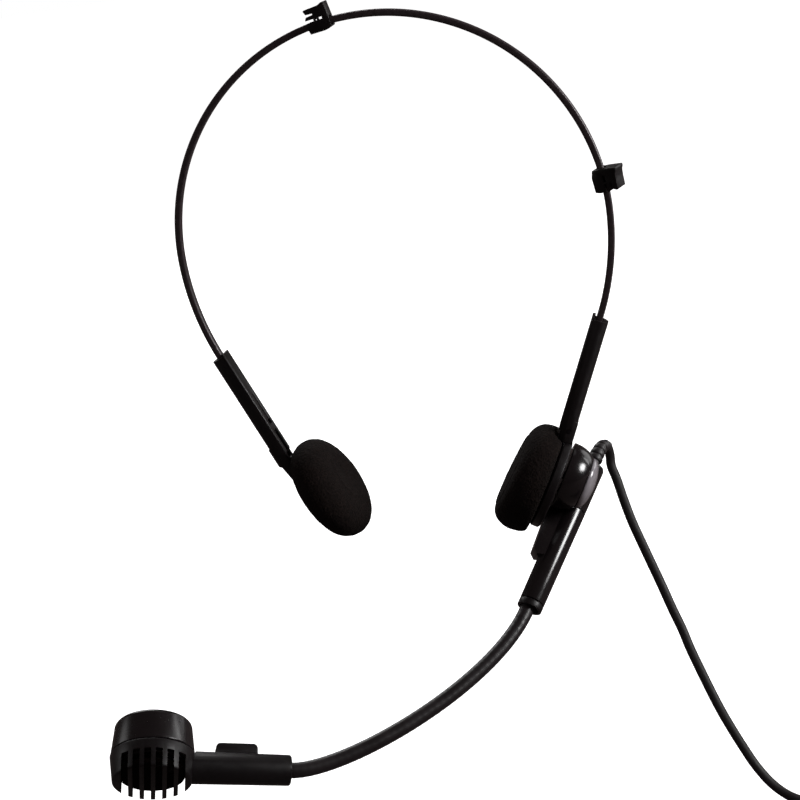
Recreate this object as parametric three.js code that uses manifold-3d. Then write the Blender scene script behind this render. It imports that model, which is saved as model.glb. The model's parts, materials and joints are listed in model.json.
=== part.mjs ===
// A headset microphone: a sprung wire headband with two sliding arms, a foam temple pad on each,
// a boom that swings on the right-hand pad, a gooseneck and a swivelling dynamic capsule,
// with its free cord, coiled and tied, and the plug on it.
//
// Millimetres, +Z up. The wearer looks along -Y and the boom is on the +X side.
// The origin is the middle of the wearer's head, midway between the two temple pads.

import * as THREE from "three";
import { mergeVertices } from "three/addons/utils/BufferGeometryUtils.js";
import Module from "manifold-3d";

const wasm = await Module();
wasm.setup();

// ---------------------------------------------------------------- driving dimensions

const gap = 0.3; // between pieces that touch
const running = 0.05; // round a pin that turns

const bandTop = 160; // centre of the wire at the crown
const crownRadius = 72.3;
const crownAngle = THREE.MathUtils.degToRad(90.5); // each side of the crown
const sideRadius = 90.1;
const sideAngle = THREE.MathUtils.degToRad(22.5);
const legLength = 37; // straight run from the bow down to the arms' lower ends
const wireEnd = 7; // the wire stops this far above them, inside the arm
const wire = { thick: 2.3, wide: 3.1, corner: 0.45 };

const arm = { length: 37.3, inner: 2.5, outer: 3.2, flat: 0.5, wide: 6.6, corner: 0.6, lipDrop: 0.8 };
const channel = { thick: 3.0, wide: 3.8, floor: 2.6 }; // the wire's way down inside an arm
const groove = { wide: 0.9, deep: 0.5, low: 10, high: 20 }; // down an arm's inner face
const windows = [{ wide: 2.8, low: 8.0, high: 9.9 }, { wide: 2.8, low: 0.3, high: 5.6 }];
const wireStop = { thick: 2.2, wide: 2.8, high: 2.2 };
const armShift = { right: -0.7, left: 0.5 }; // how far each arm sits up its leg

const knuckle = { half: 2.8, reach: 4.1, pinRadius: 0.8, tongue: 2.2, slot: 2.8, x: 0.9, z: -3.1 };
const pad = { radius: 15.8, thick: 3.3, pinOut: -1.64, pinUp: 20.2 };
const blade = { radius: 13.5, outer: -4.0, inner: -5.8, neck: 0.2 }; // left-hand plate, in its cushion
const padTilt = { right: THREE.MathUtils.degToRad(29), left: THREE.MathUtils.degToRad(28) };
const foamRight = {
  radius: 19.1, up: -0.65, back: 17.2, front: 12.6,
  nearest: -1.95, farthest: -13.6, widest: -6.4, wedge: 0.006,
};
const foamLeft = {
  radius: 18.6, up: 0.5, back: 12.5, front: 8.5,
  nearest: -2.6, farthest: -16.5, widest: -9.2, wedge: 0,
};

const dome = { radius: 11.6, back: 2.55, front: 9.9, up: 4.3, cavity: 8.0, floor: 5.4 };
const lens = { radius: 9.1, back: 10.2, edge: 10.4, top: 14.0 };
const screw = { radius: 1.5, head: 3.0, headIn: 1.3, top: 9.3, nut: 3.1, nutHigh: 2.3 };
const washer = { inside: 2.2, radius: 7, low: 1.95, high: 2.25 };

const tube = { radius: 4.5, tip: 4.25, seam: -18.6, end: -58, bore: 3.3, collar: 2.3 };
const block = { inner: 2.3, half: 3.4, bottom: -40, bevel: 2.0 };
const relief = { length: 14.5, bore: 1.8, neck: 2.1, base: 2.7, tip: 2.0, ribs: 5, pitch: 2.2 };

const gooseneckRadius = 2.45;
const capsule = { radius: 13.3, taper: 0.9, depth: 9.5, rim: 3.3, wall: 1.4, seamGap: 0.3 };
const grille = { slots: 6, pitch: 3.5, slot: 2.1, aside: 0.35, turn: THREE.MathUtils.degToRad(-4) };
const cap = { radius: 13.1, taper: 0.9, height: 10.6, round: 1.6 };
const stalk = { radius: 5.1, tip: 4.8, end: 43.2, drop: 3.4, bore: 3.7 };

const clip = { wide: 6.5, tunnelUp: 1.55, tunnelWide: 3.8, slitLow: 1.1, slitHigh: 1.95 };
const clipAngle = { top: -9.8, side: 82.3 }; // degrees from the crown

const floorZ = -125; // the table that the cord lies on
const cordRadius = 1.7;
const coil = { x: 134, y: -46, layers: 4, across: 3, middle: 17.25, tieThick: 0.5, tieWide: 8 };
const plug = { radius: 5.2, bootLength: 14, bootTop: 4.4, shellLength: 21.7, bore: 4.3, insert: 4.0 };
const contact = { circle: 2.2, hole: 0.95, outside: 0.65, inside: 0.35, length: 4.4 };

// ---------------------------------------------------------------- looks

const looks = {
  wire: { color: 0x1c1b1d, roughness: 0.32, metalness: 0.7 },
  satinPlastic: { color: 0x131214, roughness: 0.45, metalness: 0 },
  glossPlastic: { color: 0x0d0c0e, roughness: 0.16, metalness: 0 },
  lensPlastic: { color: 0x5c575c, roughness: 0.2, metalness: 0 },
  foam: { color: 0x0b0909, roughness: 1, metalness: 0 },
  rubber: { color: 0x121113, roughness: 0.6, metalness: 0 },
  steel: { color: 0x9a9ca0, roughness: 0.3, metalness: 1 },
  brass: { color: 0xb8964f, roughness: 0.35, metalness: 1 },
  darkMetal: { color: 0x242427, roughness: 0.35, metalness: 0.8 },
};

// ---------------------------------------------------------------- shared helpers

const vec = (x, y, z) => new THREE.Vector3(x, y, z);

function part(parent, name, geometry, look) {
  const mesh = new THREE.Mesh(geometry, new THREE.MeshStandardMaterial(look));
  mesh.name = name;
  parent.add(mesh);
  return mesh;
}

// A group whose local Z runs along zAxis and whose local X is as near xAxis as it can be.
function framed(parent, origin, xAxis, zAxis) {
  const z = zAxis.clone().normalize();
  const x = xAxis.clone().addScaledVector(z, -xAxis.dot(z)).normalize();
  const y = z.clone().cross(x);
  const group = new THREE.Group();
  group.position.copy(origin);
  group.quaternion.setFromRotationMatrix(new THREE.Matrix4().makeBasis(x, y, z));
  group.updateMatrix();
  parent.add(group);
  return group;
}

// The closed solid of a geometry, for joining and cutting.
function solid(geometry) {
  const bare = geometry.clone();
  bare.deleteAttribute("normal");
  bare.deleteAttribute("uv");
  const merged = mergeVertices(bare, 1e-4);
  const triVerts = [];
  for (let i = 0; i < merged.index.count; i += 3) {
    const [a, b, c] = [0, 1, 2].map((k) => merged.index.getX(i + k));
    if (a !== b && b !== c && c !== a) triVerts.push(a, b, c);
  }
  return new wasm.Manifold(new wasm.Mesh({
    numProp: 3,
    vertProperties: merged.attributes.position.array,
    triVerts: new Uint32Array(triVerts),
  }));
}

function geometryOf(manifold) {
  const mesh = manifold.getMesh();
  const geometry = new THREE.BufferGeometry();
  geometry.setAttribute("position", new THREE.BufferAttribute(mesh.vertProperties, 3));
  geometry.setIndex(new THREE.BufferAttribute(mesh.triVerts, 1));
  geometry.computeVertexNormals();
  return geometry;
}

function joined(first, ...others) {
  return geometryOf(others.reduce((sum, other) => sum.add(solid(other)), solid(first)));
}

function without(base, ...tools) {
  return geometryOf(tools.reduce((rest, tool) => rest.subtract(solid(tool)), solid(base)));
}

function common(base, other) {
  return geometryOf(solid(base).intersect(solid(other)));
}

// A solid turned about Z from [radius, height] points that run up its outside.
function turned(points, sides = 32) {
  const profile = points.map(([r, z]) => new THREE.Vector2(r, z));
  return new THREE.LatheGeometry(profile, sides).rotateX(Math.PI / 2);
}

const alongX = (geometry) => geometry.rotateY(Math.PI / 2);
const alongY = (geometry) => geometry.rotateX(-Math.PI / 2);

function rod(radius, low, high, sides = 20) {
  return turned([[0, low], [radius, low], [radius, high], [0, high]], sides);
}

function ring(inside, outside, low, high, sides = 24) {
  return turned([[inside, low], [outside, low], [outside, high], [inside, high], [inside, low]], sides);
}

function box(x, y, z) {
  const geometry = new THREE.BoxGeometry(x[1] - x[0], y[1] - y[0], z[1] - z[0]);
  return geometry.translate((x[0] + x[1]) / 2, (y[0] + y[1]) / 2, (z[0] + z[1]) / 2);
}

// An outline drawn in X and Z, as wide as `wide` and centred on Y = 0.
function slab(shape, wide, curveSegments = 6) {
  const options = { depth: wide, bevelEnabled: false, curveSegments };
  return new THREE.ExtrudeGeometry(shape, options).rotateX(Math.PI / 2).translate(0, wide / 2, 0);
}

// An outline drawn in X and Y, drawn out from low to high along Z.
function column(shape, low, high, curveSegments = 6) {
  const options = { depth: high - low, bevelEnabled: false, curveSegments };
  return new THREE.ExtrudeGeometry(shape, options).translate(0, 0, low);
}

function outline(points) {
  return new THREE.Shape(points.map(([x, y]) => new THREE.Vector2(x, y)));
}

// A box outline with its four corners cut off.
function cutCornerBox(width, height, corner) {
  const [x, y] = [width / 2, height / 2];
  return outline([
    [x, y - corner], [x - corner, y], [corner - x, y], [-x, y - corner],
    [-x, corner - y], [corner - x, -y], [x - corner, -y], [x, corner - y],
  ]);
}

// A round tube along a curve, its section an even-sided polygon.
function tubeAlong(curve, radius, steps, sides = 8) {
  const section = new THREE.Shape().absarc(0, 0, radius, 0, 2 * Math.PI);
  return new THREE.ExtrudeGeometry(section, {
    steps, extrudePath: curve, bevelEnabled: false, curveSegments: sides / 2,
  });
}

// ---------------------------------------------------------------- the headband's line

const crownCentre = bandTop - crownRadius;
const crownRun = crownRadius * crownAngle;
const sideRun = sideRadius * sideAngle;
const bandHalf = crownRun + sideRun + legLength;

// The wire's centre at a signed distance from the crown, with its outward direction.
function bandAt(distance) {
  const side = Math.sign(distance) || 1;
  const run = Math.abs(distance);
  const angle = run < crownRun
    ? run / crownRadius
    : crownAngle + Math.min(run - crownRun, sideRun) / sideRadius;
  const leg = Math.max(run - crownRun - sideRun, 0);
  const past = run < crownRun ? 0 : crownRadius - sideRadius;
  const radius = run < crownRun ? crownRadius : sideRadius;
  const x = past * Math.sin(crownAngle) + radius * Math.sin(angle) + leg * Math.cos(angle);
  const z = crownCentre + past * Math.cos(crownAngle) + radius * Math.cos(angle) - leg * Math.sin(angle);
  return {
    point: vec(side * x, 0, z),
    outward: vec(side * Math.sin(angle), 0, Math.cos(angle)),
  };
}

class BandCurve extends THREE.Curve {
  getPoint(t, target = new THREE.Vector3()) {
    return target.copy(bandAt((2 * t - 1) * (bandHalf - wireEnd)).point);
  }
}

const headset = new THREE.Group();

// ---------------------------------------------------------------- headband

const bandWire = new THREE.ExtrudeGeometry(cutCornerBox(wire.wide, wire.thick, wire.corner), {
  steps: 68, extrudePath: new BandCurve(), bevelEnabled: false,
});
part(headset, "headband_wire", bandWire, looks.wire);

// ---------------------------------------------------------------- sliding arms

// Local frame of an arm: Z up the leg from the arm's lower end, X outward from the head.
function armFrame(side) {
  const sign = side === "right" ? 1 : -1;
  const foot = bandAt(sign * bandHalf);
  const up = vec(-sign * foot.outward.z, 0, sign * foot.outward.x);
  const origin = foot.point.clone().addScaledVector(up, armShift[side]);
  return framed(headset, origin, foot.outward, up);
}

// The outline of a knuckle's side, centred on its pin: straight sides and a round end.
function knuckleEnd(grow, wide) {
  const full = alongY(rod(knuckle.reach + grow, -wide / 2, wide / 2, 28));
  const across = knuckle.half + grow;
  return common(full, box([-across, across], [-wide, wide], [-9, 9]));
}

// The arm's section: flat on the inside and rounded on the outside, as far out as it is told.
function armSection(outer) {
  const half = arm.wide / 2;
  const { corner } = arm;
  const section = new THREE.Shape();
  section.moveTo(arm.flat, -half);
  section.absellipse(arm.flat, 0, outer - arm.flat, half, -Math.PI / 2, Math.PI / 2);
  section.absarc(corner - arm.inner, half - corner, corner, Math.PI / 2, Math.PI);
  section.absarc(corner - arm.inner, corner - half, corner, Math.PI, 1.5 * Math.PI);
  return section;
}

function armBody() {
  const half = arm.wide / 2;
  const above = arm.length + 1;
  const inside = -arm.inner - 1;
  const atPin = (geometry) => geometry.translate(knuckle.x, 0, knuckle.z);
  const cheek = box([-arm.inner, 1.9], [-half, half], [knuckle.z, 3]);
  const forkTop = 0.4;
  const cheeks = common(
    joined(cheek, atPin(knuckleEnd(0, arm.wide))),
    column(armSection(knuckle.x + knuckle.half), knuckle.z - 9, 4, 5),
  );
  const slotHalf = knuckle.slot / 2;
  const slot = box([-8, 8], [-slotHalf, slotHalf], [knuckle.z - 8, forkTop]);
  const pinBore = alongY(rod(knuckle.pinRadius + running, -half - 1, half + 1));
  const [channelX, channelY] = [channel.thick / 2, channel.wide / 2];
  const grooveY = groove.wide / 2;
  return without(
    joined(column(armSection(arm.outer), 0, arm.length, 5), cheeks),
    slot,
    atPin(pinBore),
    box([-channelX, channelX], [-channelY, channelY], [channel.floor, above]),
    box([-channelX, arm.outer + 1], [-half - 1, half + 1], [arm.length - arm.lipDrop, above]),
    box([inside, groove.deep - arm.inner], [-grooveY, grooveY], [groove.low, groove.high]),
    ...windows.map(({ wide, low, high }) => box([inside, -1], [-wide / 2, wide / 2], [low, high])),
  );
}

// A block on the wire's end, which keeps it from pulling out of the arm.
function stopBlock(top) {
  const [x, y] = [wireStop.thick / 2, wireStop.wide / 2];
  return box([-x, x], [-y, y], [top - wireStop.high, top]);
}

const armFrames = { right: armFrame("right"), left: armFrame("left") };
for (const side of ["left", "right"]) {
  const top = wireEnd - armShift[side] - gap;
  part(armFrames[side], `arm_${side}`, armBody(), looks.satinPlastic);
  part(armFrames[side], `wire_stop_${side}`, stopBlock(top), looks.steel);
}

// ---------------------------------------------------------------- temple pads

// Local frame of a pad: origin at the middle of its plate, X outward from the head, Z up the plate.
function padFrame(side) {
  const sign = side === "right" ? 1 : -1;
  const tilt = padTilt[side];
  const outward = vec(sign * Math.cos(tilt), 0, -Math.sin(tilt));
  const up = vec(sign * Math.sin(tilt), 0, Math.cos(tilt));
  const pin = vec(knuckle.x, 0, knuckle.z).applyMatrix4(armFrames[side].matrix);
  const origin = pin.addScaledVector(outward, -pad.pinOut).addScaledVector(up, -pad.pinUp);
  return framed(headset, origin, outward, up);
}

// The tongue that the arm's two cheeks hold, joined to a plate between two distances out.
function tongue(inner, outer, root, grow = 0) {
  const shape = new THREE.Shape();
  shape.moveTo(inner - grow, root);
  shape.lineTo(outer + grow, root);
  shape.absarc(pad.pinOut, pad.pinUp, knuckle.half - gap + grow, 0, 1.3 * Math.PI);
  shape.lineTo(inner - grow, pad.pinUp - 3.4 + 2 * grow);
  return slab(shape, knuckle.tongue + 2 * grow, 6);
}

const inPad = (geometry) => geometry.translate(pad.pinOut, 0, pad.pinUp);

// The right-hand plate carries the cushion on its inside and the boom on its outside.
function padPlateRight() {
  const half = pad.thick / 2;
  const rim = 0.5;
  const disc = alongX(turned([
    [0, -half], [pad.radius - rim, -half], [pad.radius, rim - half],
    [pad.radius, half - rim], [pad.radius - rim, half], [0, half],
  ], 32));
  const cheekRoom = alongY(rod(knuckle.reach + gap, knuckle.tongue / 2, 8));
  const cheekRoomBack = alongY(rod(knuckle.reach + gap, -8, -knuckle.tongue / 2));
  const pinBore = alongY(rod(knuckle.pinRadius + running, -4, 4));
  const shank = alongX(rod(screw.radius + gap, -half - 1, half + 1)).translate(0, 0, dome.up);
  const sink = alongX(rod(screw.head + gap, -half - 1, screw.headIn - half)).translate(0, 0, dome.up);
  return without(
    joined(disc, tongue(-half, half, 12)),
    inPad(cheekRoom), inPad(cheekRoomBack), inPad(pinBore), shank, sink,
  );
}

// The left-hand plate is a thin blade that slips inside its cushion.
function padPlateLeft() {
  const disc = alongX(rod(blade.radius, blade.inner, blade.outer, 32));
  const pinBore = alongY(rod(knuckle.pinRadius + running, -4, 4));
  return without(joined(disc, tongue(blade.inner, blade.neck, 10)), inPad(pinBore));
}

// A round cushion with soft edges; the wedge makes it thicker towards its lower end.
function cushion(size) {
  const profile = [[0, size.farthest]];
  const turns = 4;
  for (let i = 0; i <= turns; i += 1) {
    const angle = (Math.PI / 2) * (1 - i / turns);
    const grow = size.radius - size.front;
    const deep = size.widest - size.farthest;
    profile.push([size.front + grow * Math.cos(angle), size.widest - deep * Math.sin(angle)]);
  }
  for (let i = 1; i <= turns; i += 1) {
    const angle = (Math.PI / 2) * (i / turns);
    const grow = size.radius - size.back;
    const deep = size.nearest - size.widest;
    profile.push([size.back + grow * Math.cos(angle), size.widest + deep * Math.sin(angle)]);
  }
  profile.push([0, size.nearest]);
  const body = alongX(turned(profile, 28)).translate(0, 0, size.up);
  const position = body.attributes.position;
  for (let i = 0; i < position.count; i += 1) {
    const grown = 1 - size.wedge * position.getZ(i);
    position.setX(i, size.nearest + (position.getX(i) - size.nearest) * grown);
  }
  return body;
}

// The right-hand cushion is stuck to the plate and cut back round the arm's knuckle.
function foamPadRight() {
  const dent = knuckleEnd(0.4, arm.wide + 1.8);
  return without(cushion(foamRight), inPad(dent));
}

// The left-hand cushion is a sock over the blade, open where the tongue and knuckle go in.
function foamPadLeft() {
  const room = alongX(rod(blade.radius + gap, blade.inner - gap, blade.outer + gap, 28));
  const neck = tongue(blade.inner, blade.neck, 10, gap);
  const dent = knuckleEnd(0.4, arm.wide + 1);
  return without(cushion(foamLeft), room, neck, inPad(dent));
}

const padFrames = { right: padFrame("right"), left: padFrame("left") };
part(padFrames.right, "pad_plate_right", padPlateRight(), looks.satinPlastic);
part(padFrames.left, "pad_plate_left", padPlateLeft(), looks.satinPlastic);
part(padFrames.right, "foam_pad_right", foamPadRight(), looks.foam);
part(padFrames.left, "foam_pad_left", foamPadLeft(), looks.foam);
for (const side of ["left", "right"]) {
  const half = arm.wide / 2 - 0.2;
  const pin = inPad(alongY(rod(knuckle.pinRadius, -half, half)));
  part(padFrames[side], `hinge_pin_${side}`, pin, looks.darkMetal);
}

// ---------------------------------------------------------------- boom pivot on the right-hand pad

const pivot = new THREE.Group(); // X along the pivot, outward; origin level with the plate's middle
pivot.position.set(0, 0, dome.up);
padFrames.right.add(pivot);

const plateOut = pad.thick / 2;
const headLow = 0.5 - plateOut;
const headHigh = screw.headIn - gap - plateOut;
const screwBody = turned([
  [0, headLow], [screw.head, headLow], [screw.head, headHigh],
  [screw.radius, headHigh], [screw.radius, screw.top], [0, screw.top],
], 24);
part(pivot, "pivot_screw", alongX(screwBody), looks.steel);
const washerRing = ring(washer.inside, washer.radius, washer.low, washer.high);
part(pivot, "friction_washer", alongX(washerRing), looks.steel);
const nutLow = dome.floor + gap;
const nut = ring(screw.radius + gap, screw.nut, nutLow, nutLow + screw.nutHigh, 6);
part(pivot, "pivot_nut", alongX(nut), looks.steel);

// The boom tube's own frame: origin at its top end, Z up its axis, X nearly outward.
const tubeTop = vec(11.85, 15.6, 1.55);
const tubeUp = vec(0.066, 0.701, 0.71);
const boom = framed(pivot, tubeTop, vec(1, 0, 0), tubeUp);
const inPivot = (geometry) => geometry.applyMatrix4(boom.matrix);

// The dome's outside, or the room that it needs when it is grown by a clearance.
function domeOutside(grow) {
  const profile = [[0, dome.back - grow], [dome.radius + grow, dome.back - grow]];
  const shoulder = 6;
  const steps = 4;
  const low = dome.back + 0.7;
  const sweep = THREE.MathUtils.degToRad(55);
  const reach = (dome.front + grow - low) / Math.sin(sweep);
  for (let i = 0; i <= steps; i += 1) {
    const angle = (sweep * i) / steps;
    const round = (dome.radius + grow - shoulder) * Math.cos(angle);
    profile.push([shoulder + round, low + reach * Math.sin(angle)]);
  }
  profile.push([0, dome.front + grow]);
  return alongX(turned(profile, 32));
}

function pivotHousing() {
  const chamfer = 0.7;
  const sleeve = turned([
    [0, tube.seam], [tube.radius, tube.seam], [tube.radius, -chamfer],
    [tube.radius - chamfer, 0], [0, 0],
  ], 28);
  const neck = box([-8.6, 0], [-tube.radius, tube.radius], [tube.seam, -5]);
  const neckTrimmed = without(inPivot(neck), box([-20, dome.back], [-40, 40], [-40, 40]));
  const cordBore = inPivot(rod(relief.bore, -5, 1, 16));
  const cavity = alongX(rod(dome.cavity, dome.floor, dome.front + 1, 24));
  const shell = without(domeOutside(0), cavity);
  const screwBore = alongX(rod(screw.radius + running, 0, dome.floor + 1, 24));
  return without(joined(shell, inPivot(sleeve), neckTrimmed), cordBore, screwBore);
}
part(pivot, "pivot_housing", pivotHousing(), looks.glossPlastic);

function lensCap() {
  const profile = [[0, lens.back], [lens.radius, lens.back]];
  const steps = 5;
  for (let i = 0; i < steps; i += 1) {
    const angle = (Math.PI / 2) * (i / steps);
    const height = lens.edge + (lens.top - lens.edge) * Math.sin(angle);
    profile.push([lens.radius * Math.cos(angle), height]);
  }
  profile.push([0, lens.top]);
  const cover = alongX(turned(profile, 28));
  return without(cover, inPivot(rod(tube.radius + gap, -30, 5, 28)));
}
part(pivot, "pivot_lens_cap", lensCap(), looks.lensPlastic);

// ---------------------------------------------------------------- boom tube, collar, strain relief

function boomTube() {
  const top = tube.seam - gap;
  const low = tube.end + tube.collar + gap;
  const barrel = turned([[0, low], [tube.tip, low], [tube.radius, top], [0, top]], 28);
  const side = [
    [-9, top], [-1, top], [-1, block.bottom + 1.5], [-5.2, block.bottom],
    [-9, block.bottom + block.bevel + 1.4],
  ];
  const rib = slab(outline(side), 2 * block.half);
  const ribTrimmed = without(
    inPivot(rib),
    box([-20, block.inner], [-60, 60], [-60, 60]),
  );
  const bore = rod(tube.bore, tube.end - 1, tube.end + 10, 24);
  return without(joined(inPivot(barrel), ribTrimmed), inPivot(bore), domeOutside(gap));
}
part(pivot, "boom_tube", boomTube(), looks.glossPlastic);

const collar = [
  [tube.bore, tube.end], [tube.tip - 0.4, tube.end], [tube.tip, tube.end + 0.4],
  [tube.tip, tube.end + tube.collar], [tube.bore, tube.end + tube.collar], [tube.bore, tube.end],
];
part(boom, "tube_collar", turned(collar, 28), looks.satinPlastic);

// The cord's line from the boom's top end: back over the relief, down to the table, across to the coil.
const cordRoute = [
  [54.8, 15.6, -4.3], [56.0, 17.7, -2.5], [57.2, 20.0, -1.0], [58.3, 22.7, -0.2], [59.4, 25.9, -0.9],
  [60.1, 28.4, -3.1], [60.3, 29.5, -6.1], [60.3, 29.2, -9.7], [61.7, 27.5, -14.1], [63.4, 25.0, -20.8],
  [65.6, 22.3, -28.5], [68.4, 19.7, -36.3], [71.3, 17.2, -44.1], [74.1, 14.6, -51.6], [76.6, 12.0, -58.5],
  [79.5, 9.4, -66.0], [81.3, 7.2, -71.5], [85.2, 3.8, -81.8], [90.2, -0.3, -93.8], [95.9, -3.2, -105.5],
  [100.5, -5.4, -113.6], [105.5, -8.0, -119.3], [111.0, -11.0, -122.4], [117.5, -14.4, -123.2],
  [125.0, -18.0, -123.1], [132.6, -21.6, -122.9],
];
const cordLine = new THREE.CatmullRomCurve3(cordRoute.map((p) => vec(...p)), false, "centripetal");
const cordRun = cordLine.getLength();

// The stretch of a curve between two distances along it.
class Stretch extends THREE.Curve {
  constructor(curve, from, to) {
    super();
    this.curve = curve;
    this.low = from / curve.getLength();
    this.high = to / curve.getLength();
  }
  getPoint(t, target = new THREE.Vector3()) {
    const u = this.low + (this.high - this.low) * t;
    return this.curve.getPointAt(THREE.MathUtils.clamp(u, 0, 1), target);
  }
}

// A turned, ribbed taper, bent so that its axis lies on the curve.
function bentRelief(curve) {
  const profile = [[0, 0], [relief.neck, 0], [relief.neck, 1.6]];
  for (let i = 0; i < relief.ribs; i += 1) {
    const low = 1.8 + i * relief.pitch;
    const wide = relief.base - i * 0.15;
    profile.push([wide, low], [wide, low + 1.4], [wide - 0.5, low + 1.55], [wide - 0.5, low + 2.05]);
  }
  profile.push([relief.tip, relief.length - gap], [0, relief.length - gap]);
  const straight = turned(profile, 12);
  const length = relief.length - gap;
  const steps = 60;
  const frames = curve.computeFrenetFrames(steps, false);
  const position = straight.attributes.position;
  for (let i = 0; i < position.count; i += 1) {
    const along = THREE.MathUtils.clamp(position.getZ(i) / length, 0, 1);
    const k = Math.round(along * steps);
    const point = curve.getPointAt(along);
    point.addScaledVector(frames.normals[k], position.getX(i));
    point.addScaledVector(frames.binormals[k], position.getY(i));
    position.setXYZ(i, point.x, point.y, point.z);
  }
  return straight;
}
part(headset, "strain_relief", bentRelief(new Stretch(cordLine, gap, relief.length)), looks.rubber);

// ---------------------------------------------------------------- capsule's frame and the gooseneck

const capsuleSeam = vec(-82.67, -91.82, -49.21);
const capsuleFront = vec(0.0905, -0.7998, -0.5934).normalize(); // the way the grille faces
const stalkWay = vec(0.9194, 0.2961, -0.2588); // from the capsule back along its stalk
const mic = framed(headset, capsuleSeam, stalkWay, capsuleFront.clone().negate());

const stalkTip = vec(stalk.end, 0, -stalk.drop).applyMatrix4(mic.matrix);
const stalkBack = vec(1, 0, 0).transformDirection(mic.matrix);
const neckStart = vec(31.1, -25.0, -38.1);
const neckWay = vec(-0.38, -0.70, -0.61).normalize();
const neckCurve = new THREE.CurvePath();
neckCurve.add(new THREE.LineCurve3(neckStart.clone().addScaledVector(neckWay, -6), neckStart));
neckCurve.add(new THREE.CubicBezierCurve3(
  neckStart,
  neckStart.clone().addScaledVector(neckWay, 28),
  stalkTip.clone().addScaledVector(stalkBack, 17.8),
  stalkTip,
));
neckCurve.add(new THREE.LineCurve3(stalkTip, stalkTip.clone().addScaledVector(stalkBack, -8)));
part(headset, "gooseneck", tubeAlong(neckCurve, gooseneckRadius, 44), looks.rubber);

const bush = ring(gooseneckRadius + gap, stalk.bore - running, stalk.end - 6, stalk.end - 0.6, 28);
part(mic, "swivel_bush", alongX(bush).translate(0, 0, -stalk.drop), looks.darkMetal);

// ---------------------------------------------------------------- capsule

function capsuleHousing() {
  const narrow = capsule.radius - capsule.taper;
  const seam = -capsule.seamGap / 2;
  const round = 0.8;
  const shell = turned([
    [0, -capsule.depth], [narrow - round, -capsule.depth], [narrow, round - capsule.depth],
    [capsule.radius, seam - 0.3], [capsule.radius - 0.3, seam], [0, seam],
  ], 36);
  const chamfer = 0.7;
  const barrel = alongX(turned([
    [0, 9.5], [stalk.radius, 9.5], [stalk.tip, stalk.end - chamfer],
    [stalk.tip - chamfer, stalk.end], [0, stalk.end],
  ], 24)).translate(0, 0, -stalk.drop);
  const tab = new THREE.Shape();
  const tabTop = 4.4;
  const tabRound = 1.5;
  const [tabStart, tabEnd] = [19.5, 32.7];
  tab.moveTo(tabStart, -3);
  tab.lineTo(tabEnd, -3);
  tab.absarc(tabEnd - tabRound, tabTop - tabRound, tabRound, 0, Math.PI / 2);
  tab.absarc(tabStart + tabRound, tabTop - tabRound, tabRound, Math.PI / 2, Math.PI);
  const inside = capsule.radius - capsule.wall;
  const hollow = turned([
    [0, capsule.wall - capsule.depth], [inside - capsule.taper, capsule.wall - capsule.depth],
    [inside, 0.5], [0, 0.5],
  ], 28);
  const swivelBore = alongX(rod(stalk.bore, stalk.end - 12, stalk.end + 1, 28));
  const leadBore = alongX(rod(1.2, 8, stalk.end - 11, 12));
  const capRoom = rod(cap.radius + 0.3, seam, 4, 36);
  const bores = [swivelBore, leadBore].map((bore) => bore.translate(0, 0, -stalk.drop));
  const cuts = [hollow, capRoom, ...bores];
  for (let i = 0; i < grille.slots; i += 1) {
    const x = grille.aside + (i - (grille.slots - 1) / 2) * grille.pitch;
    const half = grille.slot / 2;
    const slot = box([x - half, x + half], [-15, 15], [-capsule.depth - 1, -capsule.rim]);
    cuts.push(slot.rotateZ(grille.turn));
  }
  return without(joined(shell, barrel, slab(tab, 5)), ...cuts);
}
part(mic, "capsule_housing", capsuleHousing(), looks.satinPlastic);

function capsuleCap() {
  const base = capsule.seamGap / 2;
  const top = cap.radius - cap.taper;
  const profile = [[0, base], [cap.radius, base]];
  const steps = 4;
  for (let i = 0; i <= steps; i += 1) {
    const angle = (Math.PI / 2) * (i / steps);
    const edge = cap.round * (1 - Math.cos(angle));
    profile.push([top - edge, cap.height - cap.round * (1 - Math.sin(angle))]);
  }
  profile.push([0, cap.height]);
  const inside = top - capsule.wall;
  const hollow = rod(inside, base - 1, cap.height - capsule.wall, 24);
  return without(turned(profile, 32), hollow);
}
part(mic, "capsule_cap", capsuleCap(), looks.glossPlastic);

part(mic, "capsule_foam", rod(10.2, -6.9, -5.3, 32), looks.foam);
part(mic, "shock_ring", ring(8.6, 11.0, -3.6, -0.6), looks.rubber);
const magnetCup = turned([[0, -2.9], [8.3, -2.9], [8.3, 0.6], [6.4, 0.6], [6.4, 6.2], [0, 6.2]], 28);
part(mic, "dynamic_element", magnetCup, looks.steel);
const coverDome = turned([[0, -4.9], [6.6, -4.5], [8.0, -3.2], [0, -3.2]], 28);
part(mic, "diaphragm_cover", coverDome, looks.darkMetal);

// ---------------------------------------------------------------- cable clips on the headband

// Local frame of a clip: X along the wire, Z outward from the head.
function clipFrame(angle) {
  const turn = THREE.MathUtils.degToRad(angle);
  const outward = vec(Math.sin(turn), 0, Math.cos(turn));
  const along = vec(Math.cos(turn), 0, -Math.sin(turn));
  const point = vec(0, 0, crownCentre).addScaledVector(outward, crownRadius);
  return framed(headset, point, along, outward);
}

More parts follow.
